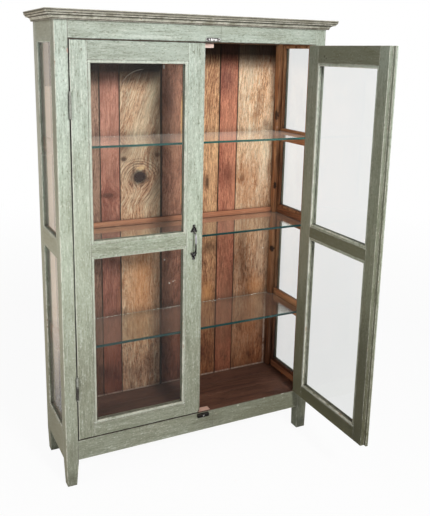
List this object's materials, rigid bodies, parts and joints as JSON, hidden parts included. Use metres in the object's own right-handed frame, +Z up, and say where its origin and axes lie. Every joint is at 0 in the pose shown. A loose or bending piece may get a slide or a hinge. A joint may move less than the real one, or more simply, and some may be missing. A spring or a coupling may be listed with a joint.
{
  "type": "display cabinet",
  "caption": "Free-standing two-door display cabinet in worn painted wood, with glazed doors and sides, glass shelves, a planked back and a moulded cornice.",
  "frame": {"origin": "on the floor at the centre of the carcass footprint", "axes": "+Z up, +X to the cabinet's right as seen from the front, -Y towards the front where the doors open"},
  "size_m": [1.19, 0.834, 1.826],
  "materials": {
    "painted_wood": "worn sage green paint",
    "bare_wood": "bare, waxed",
    "plank_wood": "bare, waxed, knotty",
    "window_glass": "clear",
    "shelf_glass": "clear, green edges",
    "black_iron": "blackened",
    "painted_metal": "brush painted with the woodwork",
    "grey_steel": "dull"
  },
  "bodies": {
    "cabinet": {"front_left_post": "painted_wood", "front_right_post": "painted_wood", "back_left_post": "painted_wood", "back_right_post": "painted_wood", "front_head_rail": "painted_wood", "back_head_rail": "painted_wood", "front_bottom_rail": "painted_wood", "back_bottom_rail": "painted_wood", "left_top_rail": "painted_wood", "left_middle_rail": "painted_wood", "left_bottom_rail": "painted_wood", "left_side_panes": "window_glass", "left_side_beads": "painted_wood", "left_shelf_cleats": "bare_wood", "left_cornice": "painted_wood", "right_top_rail": "painted_wood", "right_middle_rail": "painted_wood", "right_bottom_rail": "painted_wood", "right_side_panes": "window_glass", "right_side_beads": "painted_wood", "right_shelf_cleats": "bare_wood", "right_cornice": "painted_wood", "front_cornice": "painted_wood", "top_board": "painted_wood", "floor_boards": "plank_wood", "floor_cleats": "bare_wood", "back_planks": "plank_wood", "back_battens": "bare_wood", "upper_shelf": "shelf_glass", "middle_shelf": "shelf_glass", "lower_shelf": "shelf_glass", "head_stop": "bare_wood", "sill_plate": "bare_wood", "button_screws": "grey_steel", "frame_hinge_leaves": "painted_metal", "hinge_pins": "painted_metal"},
    "head_button": {"head_button": "grey_steel"},
    "sill_button": {"sill_button": "black_iron"},
    "left_door": {"left_door_hinge_stile": "painted_wood", "left_door_meeting_stile": "painted_wood", "left_door_top_rail": "painted_wood", "left_door_middle_rail": "painted_wood", "left_door_bottom_rail": "painted_wood", "left_door_beads": "painted_wood", "left_door_panes": "window_glass", "left_door_pegs": "bare_wood", "left_door_handle": "black_iron", "left_door_hinge_leaves": "painted_metal"},
    "right_door": {"right_door_hinge_stile": "painted_wood", "right_door_meeting_stile": "painted_wood", "right_door_top_rail": "painted_wood", "right_door_middle_rail": "painted_wood", "right_door_bottom_rail": "painted_wood", "right_door_beads": "painted_wood", "right_door_panes": "window_glass", "right_door_pegs": "bare_wood", "right_door_handle": "black_iron", "right_door_hinge_leaves": "painted_metal"}
  },
  "joints": [
    {"name": "left_door_hinge", "type": "hinge", "parent": "cabinet", "child": "left_door", "pos_m": [-0.511, -0.168, 0.957], "axis": [0, 0, -1], "range_deg": [0, 180]},
    {"name": "right_door_hinge", "type": "hinge", "parent": "cabinet", "child": "right_door", "pos_m": [0.511, -0.168, 0.957], "axis": [0, 0, 1], "range_deg": [-90, 90]},
    {"name": "head_button_pivot", "type": "hinge", "parent": "cabinet", "child": "head_button", "pos_m": [0.0435, -0.1652, 1.739], "axis": [0, -1, 0], "continuous": true},
    {"name": "sill_button_pivot", "type": "hinge", "parent": "cabinet", "child": "sill_button", "pos_m": [0.028, -0.1703, 0.1824], "axis": [0, -1, 0], "continuous": true}
  ]
}
